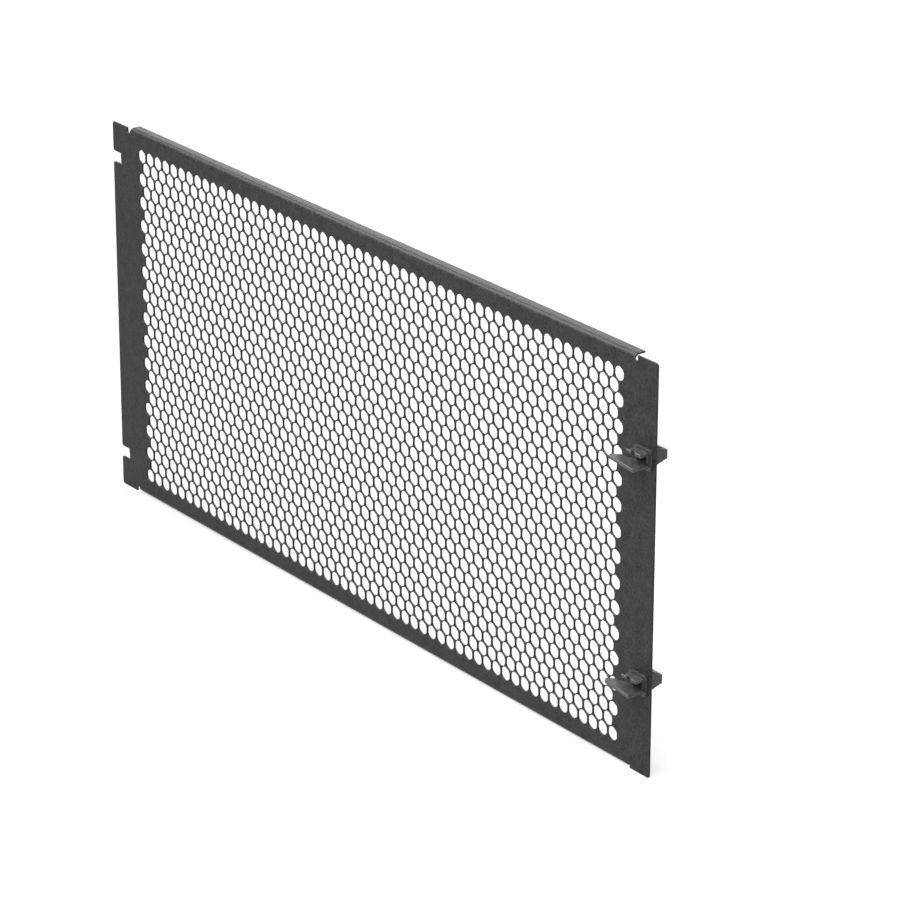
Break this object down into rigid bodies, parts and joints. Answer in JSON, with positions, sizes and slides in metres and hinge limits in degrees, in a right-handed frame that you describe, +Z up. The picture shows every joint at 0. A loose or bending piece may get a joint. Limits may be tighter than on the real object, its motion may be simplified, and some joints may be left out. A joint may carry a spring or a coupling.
{
  "type": "rack blanking panel",
  "caption": "Vented steel blanking panel for an equipment rack, with a honeycomb field, folded edges, hook tongues on the left and plastic snap clips on the right.",
  "frame": {"origin": "middle of the sheet's rear face, on the plane that seats on the rack's rails", "axes": "+X along the width to the clips' side, +Z up, +Y to the rear of the rack"},
  "size_m": [0.4826, 0.0242, 0.2214],
  "materials": {
    "powder_coated_steel": "black fine-texture powder coat, satin",
    "black_plastic": "black moulded plastic, semi-matt with glossy edges"
  },
  "bodies": {
    "root": {"vented_panel": "powder_coated_steel", "upper_snap_clip": "black_plastic", "lower_snap_clip": "black_plastic"}
  },
  "joints": []
}
